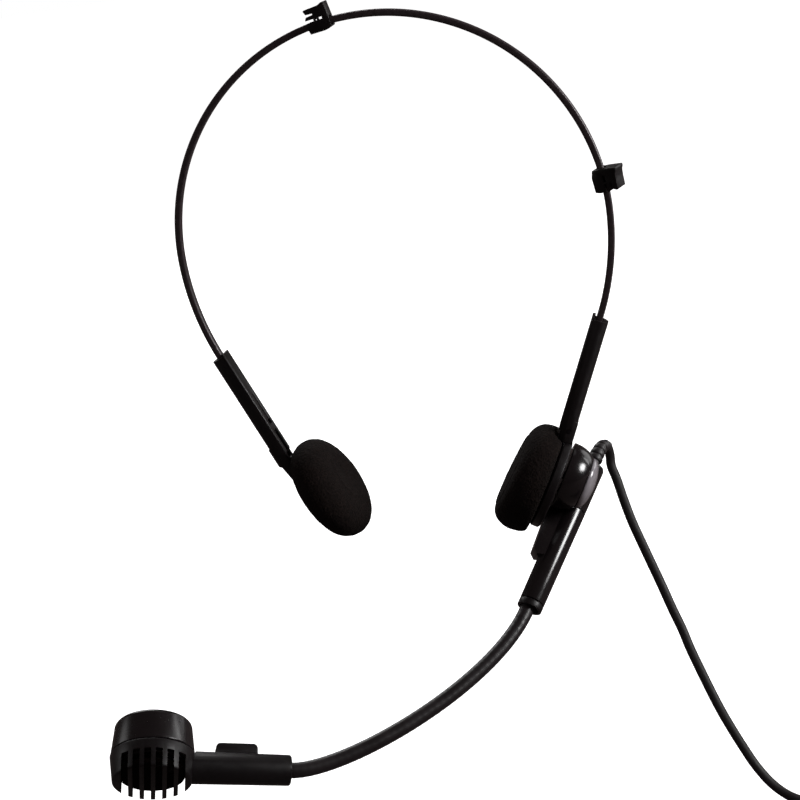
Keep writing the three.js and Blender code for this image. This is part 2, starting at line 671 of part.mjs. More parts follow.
function clipBody() {
  const profile = outline([
    [-3.6, -0.9], [-3.2, -2.5], [1.7, -2.6], [4.0, -1.9], [4.0, 1.6], [3.7, 6.2], [2.9, 6.2],
    [1.8, 5.7], [-0.3, 5.5], [-3.3, 5.4], [-3.5, 5.0], [-3.0, 3.8], [-0.8, 3.65], [-0.8, 3.3],
    [-1.8, 3.1], [-3.1, 3.06], [-3.6, 2.3],
  ]);
  const tunnel = box(
    [-6, 6], [-clip.tunnelWide / 2, clip.tunnelWide / 2], [-clip.tunnelUp, clip.tunnelUp],
  );
  const slitFront = box([-6, -1.0], [-5, 5], [clip.slitLow, clip.slitHigh]);
  const slitBack = box([-0.4, 1.9], [-5, 5], [clip.slitLow, clip.slitHigh]);
  return without(slab(profile, clip.wide), tunnel, slitFront, slitBack);
}

part(clipFrame(clipAngle.top), "cable_clip_top", clipBody(), looks.satinPlastic);
const sideClip = clipFrame(clipAngle.side);
sideClip.rotateZ(Math.PI);
sideClip.rotateX(THREE.MathUtils.degToRad(-20));
part(sideClip, "cable_clip_side", clipBody(), looks.satinPlastic);

// ---------------------------------------------------------------- free cord

const cordSolid = new Stretch(cordLine, relief.length + gap, cordRun);
part(headset, "cord_tube", tubeAlong(cordSolid, cordRadius, 46), looks.rubber);

const coilFrame = new THREE.Group();
coilFrame.position.set(coil.x, coil.y, floorZ + coil.tieThick + gap);
headset.add(coilFrame);
const coilHalf = coil.across * cordRadius;
const coilTop = 2 * cordRadius * coil.layers;
const [coilIn, coilOut] = [coil.middle - coilHalf, coil.middle + coilHalf];
part(coilFrame, "cord_coil", ring(coilIn, coilOut, 0, coilTop, 36), looks.rubber);

function cordTie() {
  const clear = 0.7; // the coil is round and the tie is cut square to it
  const t = coil.tieThick;
  const [low, high] = [-gap, coilTop + gap];
  const outer = ring(coilIn - clear - t, coilOut + gap + t, low - t, high + t, 48);
  const inner = ring(coilIn - clear, coilOut + gap, low, high, 48);
  const half = coil.tieWide / 2;
  const sector = box([-coilOut - 3, 3 - coilIn], [-half, half], [low - 2, high + 2]);
  return common(without(outer, inner), sector);
}
part(coilFrame, "cord_tie", cordTie(), looks.rubber);

const tailRoute = [
  [121.3, -67.0, -116.0], [117.0, -67.8, -117.9], [113.5, -68.6, -119.2], [110.8, -69.2, -119.7],
];
const tailLine = new THREE.CatmullRomCurve3(tailRoute.map((p) => vec(...p)), false, "centripetal");
part(headset, "cord_tail", tubeAlong(tailLine, cordRadius, 6), looks.rubber);

// ---------------------------------------------------------------- plug on the cord

const plugStart = vec(110.5, -69.3, floorZ + plug.radius);
const plugFrame = framed(headset, plugStart, vec(0, 0, 1), vec(-0.98, -0.2, 0));
const shellStart = plug.bootLength + gap;
const shellEnd = shellStart + plug.shellLength;

function plugBoot() {
  const profile = [[0, 0], [2.2, 0]];
  const ribs = 4;
  for (let i = 0; i < ribs; i += 1) {
    const low = 1.2 + i * 2.4;
    const wide = 2.3 + i * 0.35;
    profile.push([wide, low], [wide, low + 1.3], [wide - 0.4, low + 1.6], [wide - 0.4, low + 2.2]);
  }
  const { bootTop, bootLength } = plug;
  profile.push([bootTop, bootLength - 2], [bootTop, bootLength], [0, bootLength]);
  return turned(profile, 12);
}
part(plugFrame, "plug_boot", plugBoot(), looks.rubber);

function plugShell() {
  const edge = 0.4;
  const body = turned([
    [0, shellStart], [plug.radius - edge, shellStart], [plug.radius, shellStart + edge],
    [plug.radius, shellEnd - edge], [plug.radius - edge, shellEnd], [0, shellEnd],
  ], 32);
  const hollow = rod(plug.bore, shellStart + 2, shellEnd + 1, 28);
  const entry = rod(2, shellStart - 1, shellStart + 3, 16);
  const latchSlot = box([3, plug.radius + 2], [-1.8, 1.8], [19, 28]);
  return without(body, hollow, entry, latchSlot);
}
part(plugFrame, "plug_shell", plugShell(), looks.darkMetal);

const contactSpots = [45, 135, 225, 315].map((angle) => {
  const turn = THREE.MathUtils.degToRad(angle);
  return vec(Math.cos(turn), Math.sin(turn), 0).multiplyScalar(contact.circle);
});
const insertEnd = shellEnd - 0.8;
const holeLow = insertEnd - contact.length - 0.6;
const contactHoles = contactSpots.map(({ x, y }) => (
  rod(contact.hole, holeLow, insertEnd + 1, 12).translate(x, y, 0)
));
const insert = without(rod(plug.insert, 28.6, insertEnd, 28), ...contactHoles);
part(plugFrame, "plug_insert", insert, looks.satinPlastic);
contactSpots.forEach(({ x, y }, i) => {
  const top = insertEnd - gap;
  const sleeve = ring(contact.inside, contact.outside, top - contact.length, top, 12);
  part(plugFrame, `plug_contact_${i + 1}`, sleeve.translate(x, y, 0), looks.brass);
});

const latchSide = outline([[3.5, 19.3], [5.6, 19.3], [6.0, 21], [6.0, 25], [5.4, 27.7], [3.5, 27.7]]);
part(plugFrame, "plug_latch", slab(latchSide, 3), looks.darkMetal);

export default headset;
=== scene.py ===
import json
import math

import bmesh
import bpy
import numpy as np
from mathutils import Matrix, Vector, noise


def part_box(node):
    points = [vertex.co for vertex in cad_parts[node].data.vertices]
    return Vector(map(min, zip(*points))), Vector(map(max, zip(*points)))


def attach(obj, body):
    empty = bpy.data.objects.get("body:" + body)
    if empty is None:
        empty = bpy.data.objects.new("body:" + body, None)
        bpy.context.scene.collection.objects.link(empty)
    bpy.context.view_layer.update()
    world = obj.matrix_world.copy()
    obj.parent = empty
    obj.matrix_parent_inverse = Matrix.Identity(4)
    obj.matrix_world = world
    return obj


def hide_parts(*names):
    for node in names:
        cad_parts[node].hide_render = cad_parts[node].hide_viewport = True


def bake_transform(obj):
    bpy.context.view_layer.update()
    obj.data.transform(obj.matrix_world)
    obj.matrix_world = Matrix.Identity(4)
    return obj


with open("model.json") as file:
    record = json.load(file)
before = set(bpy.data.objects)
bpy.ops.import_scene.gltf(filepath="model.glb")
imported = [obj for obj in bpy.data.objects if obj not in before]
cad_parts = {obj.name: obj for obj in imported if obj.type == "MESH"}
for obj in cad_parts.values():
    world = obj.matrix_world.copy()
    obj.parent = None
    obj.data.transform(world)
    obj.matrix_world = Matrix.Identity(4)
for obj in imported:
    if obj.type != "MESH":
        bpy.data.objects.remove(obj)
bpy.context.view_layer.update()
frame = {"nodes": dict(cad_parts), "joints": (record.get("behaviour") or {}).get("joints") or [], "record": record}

MM = 0.001
NODES = frame["nodes"]
JOINTS = {joint["name"]: joint for joint in frame["joints"]}
BODY_OF = {
    node: body
    for body, nodes in frame["record"]["behaviour"]["bodies"].items()
    for node in nodes
}
SLOT_OF = {part["node"]: part["material_slot"] for part in frame["record"]["subparts"]}


# ------------------------------------------------------------------ camera

VIEW_TURN = math.radians(11.3)
VIEW_HEIGHT = math.radians(16)
VIEW_ROLL = math.radians(9)
VIEW_DISTANCE = 0.6
VIEW_TARGET = Vector((-0.00567, 0, 0.03093))
VIEW_WIDTH = 0.272  # what the picture's width spans at the target


def add_camera():
    back = Vector((
        math.sin(VIEW_TURN) * math.cos(VIEW_HEIGHT),
        -math.cos(VIEW_TURN) * math.cos(VIEW_HEIGHT),
        math.sin(VIEW_HEIGHT),
    ))
    level = Vector((math.cos(VIEW_TURN), math.sin(VIEW_TURN), 0))
    upright = back.cross(level)
    right = level * math.cos(VIEW_ROLL) - upright * math.sin(VIEW_ROLL)
    up = upright * math.cos(VIEW_ROLL) + level * math.sin(VIEW_ROLL)
    data = bpy.data.cameras.new("camera")
    data.sensor_width = 36
    data.lens = data.sensor_width * VIEW_DISTANCE / VIEW_WIDTH
    data.clip_start = 0.01
    camera = bpy.data.objects.new("camera", data)
    camera.matrix_world = Matrix.Translation(VIEW_TARGET + back * VIEW_DISTANCE) @ Matrix((
        right, up, back
    )).transposed().to_4x4()
    bpy.context.scene.collection.objects.link(camera)
    bpy.context.scene.camera = camera


add_camera()


# ------------------------------------------------------------------ mesh helpers


def link(name, mesh):
    piece = bpy.data.objects.new(name, mesh)
    bpy.context.scene.collection.objects.link(piece)
    return piece


def frame_at(origin, x_axis, z_axis):
    """A matrix whose Z runs along z_axis and whose X is as near x_axis as it can be."""
    z = Vector(z_axis).normalized()
    x = (Vector(x_axis) - z * Vector(x_axis).dot(z)).normalized()
    y = z.cross(x)
    return Matrix.Translation(Vector(origin)) @ Matrix((x, y, z)).transposed().to_4x4()


def grid_mesh(name, rings):
    """A mesh over rings of points, each ring closed, the first and last ones capped."""
    count = len(rings[0])
    vertices = [point for one in rings for point in one]
    faces = []
    for i in range(len(rings) - 1):
        for j in range(count):
            k = (j + 1) % count
            faces.append((i * count + j, i * count + k, (i + 1) * count + k, (i + 1) * count + j))
    faces.append(tuple(reversed(range(count))))
    faces.append(tuple(range((len(rings) - 1) * count, len(rings) * count)))
    mesh = bpy.data.meshes.new(name)
    mesh.from_pydata(vertices, [], faces)
    mesh.validate()
    outward(mesh)
    return mesh


def outward(mesh):
    work = bmesh.new()
    work.from_mesh(mesh)
    bmesh.ops.recalc_face_normals(work, faces=work.faces)
    work.to_mesh(mesh)
    work.free()


def lathe(name, profile, matrix, sides=96):
    """A solid turned about the matrix's Z from (radius, height) points in mm.
    A profile that starts and ends on the axis is a solid, and a closed one is a ring."""
    ring = profile[0] == profile[-1]
    points = profile[:-1] if ring else profile
    work = bmesh.new()
    columns = []
    for j in range(sides):
        turn = 2 * math.pi * j / sides
        column = []
        for radius, height in points:
            if radius < 1e-6 and j:
                column.append(columns[0][len(column)])
                continue
            local = Vector((radius * math.cos(turn), radius * math.sin(turn), height)) * MM
            column.append(work.verts.new(matrix @ local))
        columns.append(column)
    spans = len(points) if ring else len(points) - 1
    for j in range(sides):
        here, there = columns[j], columns[(j + 1) % sides]
        for i in range(spans):
            k = (i + 1) % len(points)
            corners = []
            for vertex in (here[i], there[i], there[k], here[k]):
                if vertex not in corners:
                    corners.append(vertex)
            if len(corners) > 2:
                work.faces.new(corners)
    bmesh.ops.recalc_face_normals(work, faces=work.faces)
    mesh = bpy.data.meshes.new(name)
    work.to_mesh(mesh)
    work.free()
    return link(name, mesh)


def prism(name, outline, matrix, low, high, bevel=0.0, segments=2):
    """An outline in X and Y (mm) drawn out along Z from low to high, its edges bevelled."""
    work = bmesh.new()
    bottom = [work.verts.new(Vector((x, y, low)) * MM) for x, y in outline]
    top = [work.verts.new(Vector((x, y, high)) * MM) for x, y in outline]
    work.faces.new(bottom)
    work.faces.new(top)
    for i in range(len(outline)):
        k = (i + 1) % len(outline)
        work.faces.new((bottom[i], bottom[k], top[k], top[i]))
    bmesh.ops.recalc_face_normals(work, faces=work.faces)
    if bevel:
        sharp = [edge for edge in work.edges if edge.calc_face_angle(0) > math.radians(25)]
        bmesh.ops.bevel(
            work, geom=sharp, offset=bevel * MM, segments=segments, profile=0.5, affect="EDGES",
        )
    work.transform(matrix)
    bmesh.ops.recalc_face_normals(work, faces=work.faces)
    mesh = bpy.data.meshes.new(name)
    work.to_mesh(mesh)
    work.free()
    return link(name, mesh)


def block(name, x, y, z, matrix):
    outline = [(x[0], y[0]), (x[1], y[0]), (x[1], y[1]), (x[0], y[1])]
    return prism(name, outline, matrix, z[0], z[1])


def final_mesh(piece):
    """Applies the piece's modifiers to its mesh, and removes them."""
    bpy.context.view_layer.update()
    evaluated = piece.evaluated_get(bpy.context.evaluated_depsgraph_get())
    mesh = bpy.data.meshes.new_from_object(evaluated)
    piece.modifiers.clear()
    old = piece.data
    piece.data = mesh
    if old.users == 0:
        bpy.data.meshes.remove(old)


def combine(piece, others, operation):
    """Joins the others to the piece or cuts them from it, and removes them."""
    for other in others:
        modifier = piece.modifiers.new("combine", "BOOLEAN")
        modifier.operation = operation
        modifier.solver = "EXACT"
        modifier.object = other
    final_mesh(piece)
    for other in others:
        bpy.data.objects.remove(other)


def smooth(piece, angle):
    mesh = piece.data
    mesh.shade_smooth()
    mesh.set_sharp_from_angle(angle=math.radians(angle))
    return piece


def finish_edges(piece, width, segments=2, angle=30):
    """Merges coplanar faces, rounds the sharp edges a little, and shades the rest smooth."""
    work = bmesh.new()
    work.from_mesh(piece.data)
    bmesh.ops.remove_doubles(work, verts=work.verts, dist=2e-6)
    bmesh.ops.dissolve_limit(
        work, angle_limit=math.radians(1), verts=work.verts, edges=work.edges,
    )
    work.to_mesh(piece.data)
    work.free()
    modifier = piece.modifiers.new("edges", "BEVEL")
    modifier.width = width * MM
    modifier.segments = segments
    modifier.limit_method = "ANGLE"
    modifier.angle_limit = math.radians(angle)
    modifier.miter_outer = "MITER_ARC"
    modifier.use_clamp_overlap = True
    modifier.harden_normals = False
    final_mesh(piece)
    return smooth(piece, 40)


def settle(piece, node, look, *others):
    """The piece stands for its node, and for any others, on their body and with their slot."""
    piece.data.materials.clear()
    piece.data.materials.append(look)
    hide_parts(node, *others)
    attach(piece, BODY_OF[node])
    return piece


def refined(node, width):
    """A copy of a node's shape with rounded edges and smooth curves."""
    piece = link(node + "_piece", NODES[node].data.copy())
    return settle(finish_edges(piece, width), node, LOOK_OF_SLOT[SLOT_OF[node]])


# ------------------------------------------------------------------ curves


def catmull(points, step):
    """Points a step apart on the smooth curve through the given points."""
    points = [Vector(p) for p in points]
    points = [points[0] * 2 - points[1], *points, points[-1] * 2 - points[-2]]
    dense = []
    for p0, p1, p2, p3 in zip(points, points[1:], points[2:], points[3:]):
        t01, t12, t23 = ((b - a).length ** 0.5 for a, b in ((p0, p1), (p1, p2), (p2, p3)))
        m1 = (p2 - p1) + ((p1 - p0) / t01 - (p2 - p0) / (t01 + t12)) * t12
        m2 = (p2 - p1) + ((p3 - p2) / t23 - (p3 - p1) / (t12 + t23)) * t12
        for i in range(12):
            t = i / 12
            dense.append(
                p1 * (2 * t ** 3 - 3 * t ** 2 + 1) + m1 * (t ** 3 - 2 * t ** 2 + t)
                + p2 * (3 * t ** 2 - 2 * t ** 3) + m2 * (t ** 3 - t ** 2)
            )
    dense.append(points[-2])
    return even_steps(dense, step)


def even_steps(points, step):
    """The line through the points, with new points a step apart."""
    data = np.array([list(p) for p in points])
    run = np.concatenate([[0], np.cumsum(np.linalg.norm(np.diff(data, axis=0), axis=1))])
    count = max(2, round(run[-1] / step))
    places = np.linspace(0, run[-1], count + 1)
    return [Vector([np.interp(place, run, data[:, k]) for k in range(3)]) for place in places]


def carried_frames(points, first_x):
    """A frame at each point, turned as little as possible from one to the next."""
    frames = []
    x = Vector(first_x)
    for i, point in enumerate(points):
        z = (points[min(i + 1, len(points) - 1)] - points[max(i - 1, 0)]).normalized()
        x = (x - z * x.dot(z)).normalized()
        frames.append(frame_at(point, x, z))
    return frames


def circle(matrix, radius, sides, unit=1):
    """Points round the matrix's Z, at a radius in metres or another unit."""
    turns = [2 * math.pi * j / sides for j in range(sides)]
    return [
        matrix @ (Vector((radius * math.cos(a), radius * math.sin(a), 0)) * unit) for a in turns
    ]


def swept(name, points, radius_at, first_x, sides):
    """A round tube along the points, its radius a function of the distance run."""
    rings, run = [], 0
    frames = carried_frames(points, first_x)
    for i, matrix in enumerate(frames):
        if i:
            run += (points[i] - points[i - 1]).length
        radius = radius_at(run)
        rings.append(circle(matrix, radius, sides))
    return link(name, grid_mesh(name, rings))


# ------------------------------------------------------------------ materials


NOISE_LOW, NOISE_HIGH = 0.3, 0.7  # nearly all of a noise texture's values lie between these


class Look:
    """A material being built: its nodes, its shader and its object coordinates."""

    def __init__(self, name):
        self.material = bpy.data.materials.new(name)
        self.material.use_nodes = True
        self.tree = self.material.node_tree
        self.shader = self.tree.nodes["Principled BSDF"]
        self.place = self.tree.nodes.new("ShaderNodeTexCoord").outputs["Object"]

    def node(self, kind, **values):
        node = self.tree.nodes.new(kind)
        for key, value in values.items():
            if hasattr(node, key):
                setattr(node, key, value)
            else:
                node.inputs[key.replace("_", " ")].default_value = value
        return node

    def join(self, output, target):
        self.tree.links.new(output, target)

    def grain(self, scale, detail=4, roughness=0.6, stretch=None):
        """Noise of so many features to the metre, in [0, 1]."""
        place = self.place
        if stretch:
            mapping = self.node("ShaderNodeMapping")
            mapping.inputs["Scale"].default_value = stretch
            self.join(place, mapping.inputs["Vector"])
            place = mapping.outputs["Vector"]
        texture = self.node("ShaderNodeTexNoise", Scale=scale, Detail=detail, Roughness=roughness)
        self.join(place, texture.inputs["Vector"])
        return texture.outputs["Fac"]

    def cells(self, scale):
        """How far each point is from the middle of its cell, of so many cells to the metre."""
        texture = self.node("ShaderNodeTexVoronoi", Scale=scale)
        self.join(self.place, texture.inputs["Vector"])
        return texture.outputs["Distance"]

    def ramp(self, source, *stops):
        ramp = self.node("ShaderNodeValToRGB")
        elements = ramp.color_ramp.elements
        while len(elements) < len(stops):
            elements.new(0.5)
        for element, (position, color) in zip(elements, stops):
            element.position = position
            element.color = (*color, 1)
        self.join(source, ramp.inputs["Fac"])
        return ramp.outputs["Color"]

    def shades(self, source, dark, light):
        """A colour that follows a noise from dark to light."""
        return self.ramp(source, (NOISE_LOW, dark), (NOISE_HIGH, light))

    def spread(self, source, low, high):
        """A value that follows a noise from low to high."""
        node = self.node("ShaderNodeMapRange")
        node.inputs["From Min"].default_value = NOISE_LOW
        node.inputs["From Max"].default_value = NOISE_HIGH
        node.inputs["To Min"].default_value = low
        node.inputs["To Max"].default_value = high
        self.join(source, node.inputs["Value"])
        return node.outputs["Result"]

    def bump(self, height, strength, depth, below=None):
        """A normal that follows a height, its depth in mm, on top of another bump."""
        node = self.node("ShaderNodeBump")
        node.inputs["Strength"].default_value = strength
        node.inputs["Distance"].default_value = depth * MM
        self.join(height, node.inputs["Height"])
        if below:
            self.join(below, node.inputs["Normal"])
        return node.outputs["Normal"]

    def use(self, color=None, roughness=None, normal=None, **fixed):
        for output, name in ((color, "Base Color"), (roughness, "Roughness"), (normal, "Normal")):
            if output is not None:
                self.join(output, self.shader.inputs[name])
        for name, value in fixed.items():
            self.shader.inputs[name.replace("_", " ")].default_value = value
        return self.material


def grey(value, tint=(1, 1, 1)):
    return tuple(value * part for part in tint)


WARM = (1.0, 0.74, 0.82)  # the tint that the photo's blacks have


def moulded(name, shade, rough, spread=0.06, texture=0.02, coat=0.0, shine=0.5, tint=WARM):
    """Moulded plastic: fine texture, faint flow marks and uneven gloss."""
    look = Look(name)
    clouds = look.grain(70, 5)
    fine = look.grain(5200, 3, 0.55)
    marks = look.grain(420, 4, 0.7)
    color = look.shades(clouds, grey(shade * 0.8, tint), grey(shade * 1.25, tint))
    roughness = look.spread(marks, rough - spread, rough + spread)
    normal = look.bump(fine, 0.35, texture, look.bump(marks, 0.05, texture))
    return look.use(
        color, roughness, normal, Coat_Weight=coat, Coat_Roughness=0.06, Specular_IOR_Level=shine,
    )


def satin_wire():
    """Blackened spring wire, with faint lines from drawing and fine specks."""
    look = Look("satin_wire")
    drawn = look.grain(900, 4, 0.6, stretch=(1, 6, 1))
    specks = look.grain(5000, 2)
    color = look.shades(drawn, grey(0.026, WARM), grey(0.042, WARM))
    roughness = look.spread(drawn, 0.3, 0.42)
    return look.use(color, roughness, look.bump(specks, 0.3, 0.015), Metallic=0.25)


def open_foam():
    """Reticulated foam: small open cells, with painted shade in the pores and painted light on the struts between
    them.
    """
    look = Look("open_foam")
    pores = look.cells(1500)
    clumps = look.grain(260, 5, 0.65)
    # painted shade in the pores and painted light on the struts, varied at random by the clumps
    pore_shade_and_clumps = look.node("ShaderNodeMath", operation="MULTIPLY")
    look.join(pores, pore_shade_and_clumps.inputs[0])
    look.join(clumps, pore_shade_and_clumps.inputs[1])
    color = look.ramp(
        pore_shade_and_clumps.outputs["Value"], (0.05, (0.0024, 0.0015, 0.0013)), (0.45, (0.0074, 0.0045, 0.0038)),
    )
    normal = look.bump(pores, 0.9, 0.25, look.bump(clumps, 0.5, 0.3))
    return look.use(color, None, normal, Roughness=0.95, Specular_IOR_Level=0.12)


def soft_rubber(name, shade, rough, scale=2600, shine=0.5):
    """Black soft moulding or jacket: satin, with a fine uneven skin."""
    look = Look(name)
    fine = look.grain(scale, 4, 0.6)
    clouds = look.grain(120, 4)
    color = look.shades(clouds, grey(shade * 0.8, WARM), grey(shade * 1.3, WARM))
    roughness = look.spread(clouds, rough - 0.07, rough + 0.07)
    return look.use(color, roughness, look.bump(fine, 0.4, 0.03), Specular_IOR_Level=shine)


def metal(name, color, rough):
    """Bare metal with fine lines across its Z and dull patches."""
    look = Look(name)
    lines = look.grain(1500, 4, 0.65, stretch=(1, 1, 12))
    dull = look.grain(180, 4)
    shade = look.shades(dull, tuple(c * 0.8 for c in color), tuple(min(c * 1.1, 1) for c in color))
    roughness = look.spread(lines, rough - 0.1, rough + 0.12)
    return look.use(shade, roughness, look.bump(lines, 0.25, 0.01), Metallic=1.0)


def woven_strap():
    """A woven band: two sets of crossing threads, with painted shade in their dips and painted light on their
    crowns.
    """
    look = Look("woven_strap")
    both = look.node("ShaderNodeMath", operation="MULTIPLY")
    for i, direction in enumerate("ZY"):
        threads = look.node("ShaderNodeTexWave", bands_direction=direction, Scale=900.0, Distortion=0.4)
        look.join(look.place, threads.inputs["Vector"])
        look.join(threads.outputs["Fac"], both.inputs[i])
    # the colour follows the threads' height: painted shade in the dips, painted light on the crowns
    color = look.ramp(both.outputs["Value"], (0.2, grey(0.012)), (0.8, grey(0.045)))
    normal = look.bump(both.outputs["Value"], 0.8, 0.15)
    return look.use(color, None, normal, Roughness=0.8, Specular_IOR_Level=0.2)


SATIN = moulded("satin_plastic", 0.0045, 0.4, 0.07, 0.03, shine=0.28)
GLOSS = moulded("gloss_plastic", 0.005, 0.19, 0.03, 0.003)
SEMI_GLOSS = moulded("semi_gloss_plastic", 0.006, 0.25, 0.03, 0.001)
LENS = moulded("lens_plastic", 0.2, 0.2, 0.04, 0.002, coat=0.5, tint=(1.0, 0.93, 1.0))
WIRE = satin_wire()
FOAM = open_foam()
RUBBER = soft_rubber("soft_rubber", 0.009, 0.5)
SLEEVE = soft_rubber("gooseneck_sleeve", 0.008, 0.4, 1800)
JACKET = soft_rubber("cord_jacket", 0.008, 0.6, 2200, shine=0.35)
STEEL = metal("steel", (0.52, 0.53, 0.55), 0.3)
BRASS = metal("contact_metal", (0.72, 0.5, 0.2), 0.25)
DARK_METAL = metal("dark_metal", (0.035, 0.035, 0.04), 0.38)
STRAP = woven_strap()

LOOK_OF_SLOT = {
    "wire_finish": WIRE, "satin_plastic": SATIN, "gloss_plastic": GLOSS, "lens_plastic": LENS,
    "foam": FOAM, "rubber": RUBBER, "gooseneck_sleeve": SLEEVE, "cord_jacket": JACKET,
    "tie_strap": STRAP, "steel": STEEL, "brass": BRASS, "dark_metal": DARK_METAL,
}


# ------------------------------------------------------------------ cord

CORD_RADIUS = 1.7 * MM
# mm, from the pivot housing down to the table and the coil
CORD_ROUTE = [
    (54.8, 15.6, -4.3), (56.0, 17.7, -2.5), (57.2, 20.0, -1.0), (58.3, 22.7, -0.2), (59.4, 25.9, -0.9),
    (60.1, 28.4, -3.1), (60.3, 29.5, -6.1), (60.3, 29.2, -9.7), (61.7, 27.5, -14.1), (63.4, 25.0, -20.8),
    (65.6, 22.3, -28.5), (68.4, 19.7, -36.3), (71.3, 17.2, -44.1), (74.1, 14.6, -51.6),
    (76.6, 12.0, -58.5), (79.5, 9.4, -66.0), (81.3, 7.2, -71.5), (85.2, 3.8, -81.8),
    (90.2, -0.3, -93.8), (95.9, -3.2, -105.5), (100.5, -5.4, -113.6), (105.5, -8.0, -119.3),
    (111.0, -11.0, -122.4), (117.5, -14.4, -123.2), (125.0, -18.0, -123.1), (132.6, -21.6, -122.9),
]
# mm, from the coil to the connector's boot
CORD_TAIL = [
    (128.0, -66.7, -112.9), (122.0, -67.0, -115.3), (117.0, -67.8, -117.7), (113.5, -68.6, -119.2),
    (110.5, -69.3, -119.75), (107.0, -70.0, -119.8),
]
RELIEF_LENGTH = 14.5 * MM
COIL_MIDDLE = sum(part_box("cord_coil"), Vector()) / 2
COIL_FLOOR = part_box("cord_coil")[0].z
COIL_LAYERS = 4
COIL_ACROSS = 3
COIL_RADIUS = 17.25 * MM  # of the middle turn of the three
COIL_ENTRY, COIL_LEAVING = 61, -90  # degrees about its middle: it leaves on the near side
COIL_TURNS = 11 + (COIL_ENTRY - COIL_LEAVING) / 360


def coil_points():
    """The turns, wound clockwise, inward and outward by turns, one layer on another."""
    tracks = []
    for layer in range(COIL_LAYERS):
        across = range(COIL_ACROSS)
        for place in reversed(across) if layer % 2 == 0 else across:
            radius = COIL_RADIUS + (place - (COIL_ACROSS - 1) / 2) * 2 * CORD_RADIUS
            tracks.append((radius, COIL_FLOOR + CORD_RADIUS * (1 + 2 * layer)))
    per_track = COIL_TURNS / len(tracks)
    step_over = 40 / 360  # the part of a turn in which the cord moves to its next track
    per_turn = 24
    points = []
    for i in range(round(COIL_TURNS * per_turn) + 1):
        turn = min(i / per_turn, COIL_TURNS)
        track = min(int(turn / per_track), len(tracks) - 1)
        moved = min((turn - track * per_track) / step_over, 1)
        moved = moved * moved * (3 - 2 * moved)
        before, after = tracks[max(track - 1, 0)], tracks[track]
        radius = before[0] + (after[0] - before[0]) * moved
        height = before[1] + (after[1] - before[1]) * moved
        angle = math.radians(COIL_ENTRY) - 2 * math.pi * turn
        points.append(Vector((
            COIL_MIDDLE.x + radius * math.cos(angle), COIL_MIDDLE.y + radius * math.sin(angle), height,
        )))
    return points


def cut_line(points, start):
    """What is left of a line past a distance along it."""
    run = 0
    for i in range(1, len(points)):
        run += (points[i] - points[i - 1]).length
        if run >= start:
            return points[i:]
    raise ValueError("the line is shorter than that")


def in_metres(points):
    return [Vector(p) * MM for p in points]


ROUTE_LINE = catmull(in_metres(CORD_ROUTE), 0.25 * MM)
CORD_INSIDE = 1.5 * MM  # how far the cord starts inside the strain relief


def add_cord():
    """The whole cord as one piece, and the line along its middle."""
    whole = catmull([*in_metres(CORD_ROUTE), *coil_points(), *in_metres(CORD_TAIL)], 1.1 * MM)
    line = cut_line(whole, RELIEF_LENGTH - CORD_INSIDE)
    cord = swept("cord", line, lambda run: CORD_RADIUS, (1, 0, 0), sides=14)
    cord.data.materials.append(JACKET)
    smooth(cord, 60)
    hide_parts("cord_tube", "cord_coil", "cord_tail")
    return cord, line


cord_piece, cord_line = add_cord()


# ------------------------------------------------------------------ frames of the parts

BOOM_JOINT = JOINTS["boom_swing"]
OUT = -Vector(BOOM_JOINT["axis"]).normalized()  # away from the head
PIVOT = frame_at(BOOM_JOINT["pos_m"], OUT, OUT.cross(Vector((0, 1, 0))))
TURN_X = Matrix.Rotation(math.pi / 2, 4, "Y")  # puts a lathe's axis along X
TUBE_TOP = Vector((11.85, 15.6, 1.55)) * MM
TUBE_UP = Vector((0.066, 0.701, 0.71))
BOOM = PIVOT @ frame_at(TUBE_TOP, (1, 0, 0), TUBE_UP)  # its Z runs up the boom's tube
CAPSULE_SEAM = Vector((-82.67, -91.82, -49.21)) * MM
CAPSULE_FRONT = Vector((0.0905, -0.7998, -0.5934))
STALK_WAY = Vector((0.9194, 0.2961, -0.2588))
MIC = frame_at(CAPSULE_SEAM, STALK_WAY, -CAPSULE_FRONT)  # its Z runs to the capsule's back
STALK_DROP = 3.4  # the stalk's axis lies this far in front of the seam
STALK_END = 43.2
STALK = MIC @ Matrix.Translation(Vector((0, 0, -STALK_DROP)) * MM) @ TURN_X


# ------------------------------------------------------------------ headband

# The wire's centre line in mm: an arc over the crown, a flatter arc down each side, a straight leg.
BAND_TOP = 160
CROWN_RADIUS = 72.3
CROWN_ANGLE = math.radians(90.5)
SIDE_RADIUS = 90.1
SIDE_ANGLE = math.radians(22.5)
LEG_LENGTH = 37
WIRE_END = 7  # how far short of the leg's end the wire stops
WIRE_HALF_THICK = 1.15
WIRE_HALF_WIDE = 1.55
WIRE_ROUNDING = 0.45  # the power of its superellipse: 1 is an ellipse, and 0 a rectangle


def band_at(distance):
    """The wire's centre, in mm, at a distance from the crown, and its outward direction."""
    side = -1 if distance < 0 else 1
    run = abs(distance)
    crown_run, side_run = CROWN_RADIUS * CROWN_ANGLE, SIDE_RADIUS * SIDE_ANGLE
    if run < crown_run:
        radius, shift, angle = CROWN_RADIUS, 0, run / CROWN_RADIUS
    else:
        radius, shift = SIDE_RADIUS, CROWN_RADIUS - SIDE_RADIUS
        angle = CROWN_ANGLE + min(run - crown_run, side_run) / SIDE_RADIUS
    leg = max(run - crown_run - side_run, 0)
    x = shift * math.sin(CROWN_ANGLE) + radius * math.sin(angle) + leg * math.cos(angle)
    z = BAND_TOP - CROWN_RADIUS + shift * math.cos(CROWN_ANGLE)
    z += radius * math.cos(angle) - leg * math.sin(angle)
    return Vector((side * x, 0, z)), Vector((side * math.sin(angle), 0, math.cos(angle)))


